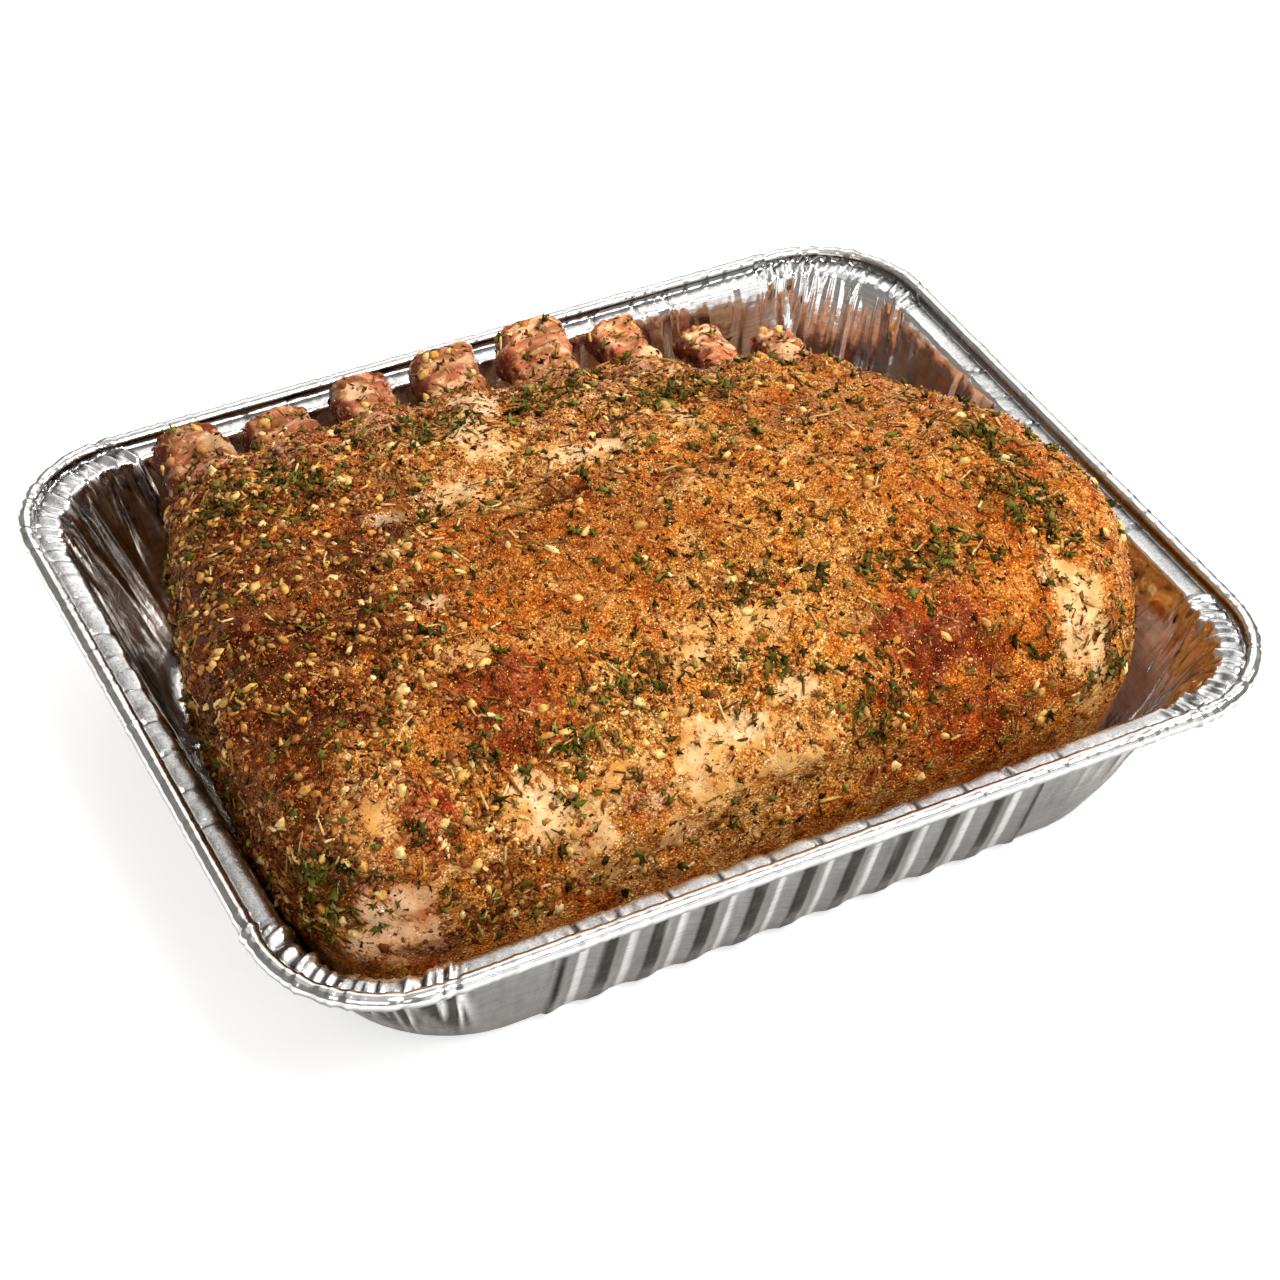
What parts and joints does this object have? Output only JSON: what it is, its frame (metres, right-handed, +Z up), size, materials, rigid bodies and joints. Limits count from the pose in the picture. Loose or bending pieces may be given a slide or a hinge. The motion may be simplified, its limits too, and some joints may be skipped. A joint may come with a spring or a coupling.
{
  "type": "seasoned pork rack",
  "caption": "Bone-in pork loin rack with a garlic and herb rub, its rib ends standing out along one long side, lying in a fluted foil roasting tin.",
  "frame": {"origin": "middle of the tin's base, on the surface it stands on", "axes": "+X along the tin's long side and the row of ribs, +Y towards the rib tips, +Z up"},
  "size_m": [0.324, 0.269, 0.0999],
  "materials": {
    "foil": "bright rolled foil, brushed along the walls, with pleated corners and a rolled edge",
    "seasoned_fat": "moist pork fat and lean under a rub of paprika, garlic granules, parsley, rosemary and chilli flakes",
    "rib_meat": "moist pink-brown rib meat with cream bone and fat at the sawn ends"
  },
  "bodies": {
    "root": {"foil_tin": "foil", "seasoned_meat": "seasoned_fat", "rib_1": "rib_meat", "rib_2": "rib_meat", "rib_3": "rib_meat", "rib_4": "rib_meat", "rib_5": "rib_meat", "rib_6": "rib_meat", "rib_7": "rib_meat", "rib_8": "rib_meat"}
  },
  "joints": []
}
